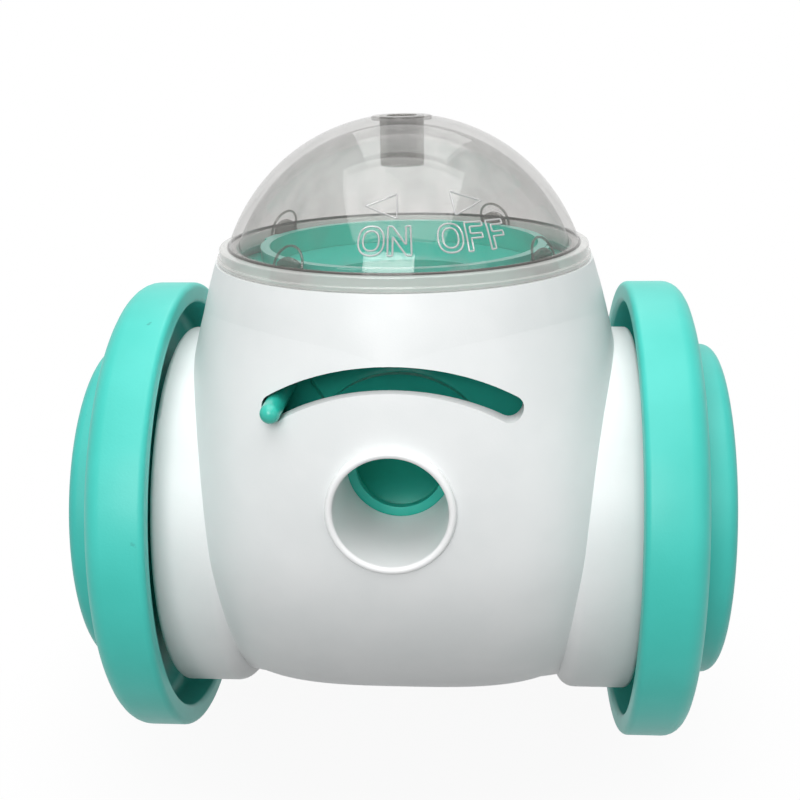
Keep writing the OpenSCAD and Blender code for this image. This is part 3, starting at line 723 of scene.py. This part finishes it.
def letter_f(x):
    """A post with a long arm at the top and a shorter one just above the middle."""
    h, w, s = LETTER_H / 2, F_HALF, STROKE
    over, under = s / 2 + F_RAISED, -s / 2 + F_RAISED
    return [np.array([(-w, -h), (-w, h), (w, h), (w, h - s), (-w + s, h - s), (-w + s, over), (w - F_SHORTER, over),
                      (w - F_SHORTER, under), (-w + s, under), (-w + s, -h)]) + [x, 0]]


def arrow(direction):
    """A triangle that points to the left (-1) or the right (1)."""
    tail = -direction * ARROW_TAIL
    return [np.array([(tail, ARROW_HALF), (direction * ARROW_TIP, 0.0), (tail, -ARROW_HALF)])]


# Outlines, with the azimuth and elevation of their middle on the dome in degrees
MARKS = [(letter_o(-2.75) + letter_n(2.75), -1.7, 29.0), (letter_o(-4.9) + letter_f(0.3) + letter_f(5.1), 26.5, 29.3),
         (arrow(-1), -3.4, 39.2), (arrow(1), 27.0, 39.6)]
BEAD_R = 0.2
BEAD_LIFT = 0.05
beads = [bead(on_dome(resampled(path), azimuth, elevation, BEAD_LIFT), BEAD_R)
         for paths, azimuth, elevation in MARKS for path in paths]
piece("lid_marks", *joined(beads), SMOKED_MARK, "lid", "smoked_clear")

# %% [markdown]
# ## Catches
# Four arched catches stand inside the dome's foot. Each has a rim in the shape of an arch and a wedge at its foot,
# which turns under a lug when the lid is locked. The rims are beads, as the letters are. A wedge could be a bevelled
# box, but a profile carried across the catch gives it the moulded toe and a crowned top.

# %% Catches inside the dome
CATCH_TURNS = [-36, 56, 146, 236]
CATCH_W = 8.5
CATCH_H = 7.8
CATCH_RIM_R = 0.28
CATCH_FOOT = rise(DOME_R, LID_Z + 0.6 - DOME_Z)
CATCH_LIFT = -DOME_WALL - 0.1
arch = np.vstack([[(-CATCH_W / 2, 0.0)], arc((0, CATCH_H - CATCH_W / 2), CATCH_W / 2, 180, 0, 16),
                  [(CATCH_W / 2, 0.0)]])
rims = [bead(on_dome(resampled(arch), turn, CATCH_FOOT, CATCH_LIFT), CATCH_RIM_R) for turn in CATCH_TURNS]
piece("catch_rims", *joined(rims), SMOKED_EDGE, "lid", "smoked_clear")

# %% Wedges of the catches
WEDGE_FOOT = LID_Z + 0.1
WEDGE_HALF = 3.0
WEDGE_R = 36.0
WEDGE_CROWN = 0.25
WEDGE_STEPS = 6
wedge_outline = filleted([
    (32.4, WEDGE_FOOT, 0.3), (36.9, WEDGE_FOOT, 0.1), (36.3, LID_Z + 5.0, 0.5), (35.2, LID_Z + 4.7, 0.4),
    (34.4, LID_Z + 1.5, 0.8), (32.4, LID_Z + 1.2, 0.3)], 4)
across = np.linspace(-WEDGE_HALF, WEDGE_HALF, WEDGE_STEPS + 1)


def wedge(turn):
    """A short bar: the outline of (radius, height), carried across the catch and lowered towards both ends."""
    angle = math.radians(turn) + across[:, None] / WEDGE_R
    crown = 1 - WEDGE_CROWN * (across[:, None] / WEDGE_HALF) ** 2
    bar_height = WEDGE_FOOT + (wedge_outline[None, :, 1] - WEDGE_FOOT) * crown
    bar = np.stack(round_the_middle(wedge_outline[None, :, 0], angle, bar_height), -1).reshape(-1, 3)
    size = len(wedge_outline)
    ends = [list(range(size)), list(range(len(bar) - size, len(bar)))]
    return bar, grid_faces(len(across), size, False, True).tolist() + ends


piece("catch_wedges", *joined([wedge(turn) for turn in CATCH_TURNS]), SMOKED_EDGE, "lid", "smoked_clear")

# %% [markdown]
# ## Stage and light
# A floor, a world and four soft lamps: a broad one above, one from the front, and weak ones from the right and from
# behind. Floor and world are white only where the camera, a reflection or clear plastic looks at them. To other light
# they are dim, so that a white background adds little light to the toy. Close to the toy the white fades a little as
# painted shade, and the floor's own faint shadow shows in it.


# %% Floor
def background_rays(tree):
    """1 where the camera, a reflection or clear plastic looks at the background, 0 for light on its way to the toy."""
    path = tree.nodes.new("ShaderNodeLightPath")
    return (Wire(tree, path.outputs["Is Camera Ray"]) + Wire(tree, path.outputs["Is Glossy Ray"])
            + Wire(tree, path.outputs["Is Transmission Ray"]))


FLOOR_HALF = 3.0
SHADE_FROM = 0.04
SHADE_TO = 0.11
SHADE_SHARE = 0.06
floor_mesh = bpy.data.meshes.new("floor")
floor_mesh.from_pydata([(-FLOOR_HALF, -FLOOR_HALF, 0), (FLOOR_HALF, -FLOOR_HALF, 0), (FLOOR_HALF, FLOOR_HALF, 0),
                        (-FLOOR_HALF, FLOOR_HALF, 0)], [], [(0, 1, 2, 3)])
floor = bpy.data.objects.new("floor", floor_mesh)
bpy.context.collection.objects.link(floor)
floor_finish, floor_place = new_finish("pale_floor")
seen_straight = background_rays(floor_finish.node_tree)
distance = floor_place.node("ShaderNodeVectorMath", {"operation": "LENGTH"}, {0: floor_place}, "Value")
# Painted shade: the floor's white fades by distance from the toy's middle, whatever the light
shade = distance.over(SHADE_FROM, SHADE_TO) * SHADE_SHARE + (1 - SHADE_SHARE)
lit = floor_place.node("ShaderNodeBsdfPrincipled", None, {
    "Base Color": floor_place.noise(40, 2).between((0.16, 0.16, 0.16), (0.15, 0.15, 0.15)), "Roughness": 0.7})
bright = floor_place.node("ShaderNodeEmission", None, {"Color": (1, 1, 1, 1), "Strength": 1.0})
floor_mesh.materials.append(show(floor_finish, floor_place.node("ShaderNodeMixShader", None, {
    0: seen_straight * shade, 1: lit, 2: bright})))
print("floor:", 2 * FLOOR_HALF, "m wide")

# %% World and lamps
world = bpy.data.worlds.new("studio")
bpy.context.scene.world = world
world.use_nodes = True
world.node_tree.nodes.clear()
seen = background_rays(world.node_tree)
WORLD_LEVEL = 0.26
sky = seen.node("ShaderNodeBackground", None, {
    "Color": (1, 1, 1, 1), "Strength": seen.over(0.0, 1.0) * (1 - WORLD_LEVEL) + WORLD_LEVEL})
world_output = world.node_tree.nodes.new("ShaderNodeOutputWorld")
world.node_tree.links.new(sky.socket, world_output.inputs["Surface"])


NEARLY_UP = (0, 0.001, 1)


def lamp(name, place, target, size, power):
    """A square soft lamp at a place, facing a target, in metres and watts."""
    data = bpy.data.lights.new(name, "AREA")
    data.size = size
    data.energy = power
    made = bpy.data.objects.new(name, data)
    away = np.array(place, float) - np.array(target, float)
    away /= np.linalg.norm(away)
    side = np.cross(NEARLY_UP, away)
    side /= np.linalg.norm(side)
    made.matrix_world = Matrix(np.vstack([np.column_stack([side, np.cross(away, side), away, place]),
                                          [0, 0, 0, 1]]).tolist())
    bpy.context.collection.objects.link(made)


MIDDLE = (0, 0, 0.07)
lamp("top_lamp", (0.0, -0.15, 0.75), MIDDLE, 0.7, 3.6)
lamp("front_lamp", (-0.1, -0.85, 0.52), MIDDLE, 0.5, 4.9)
lamp("right_lamp", (0.6, -0.6, 0.35), MIDDLE, 0.4, 0.5)
lamp("back_lamp", (0.0, 0.5, 0.78), MIDDLE, 0.5, 1.5)
bpy.context.scene.view_settings.view_transform = "Standard"
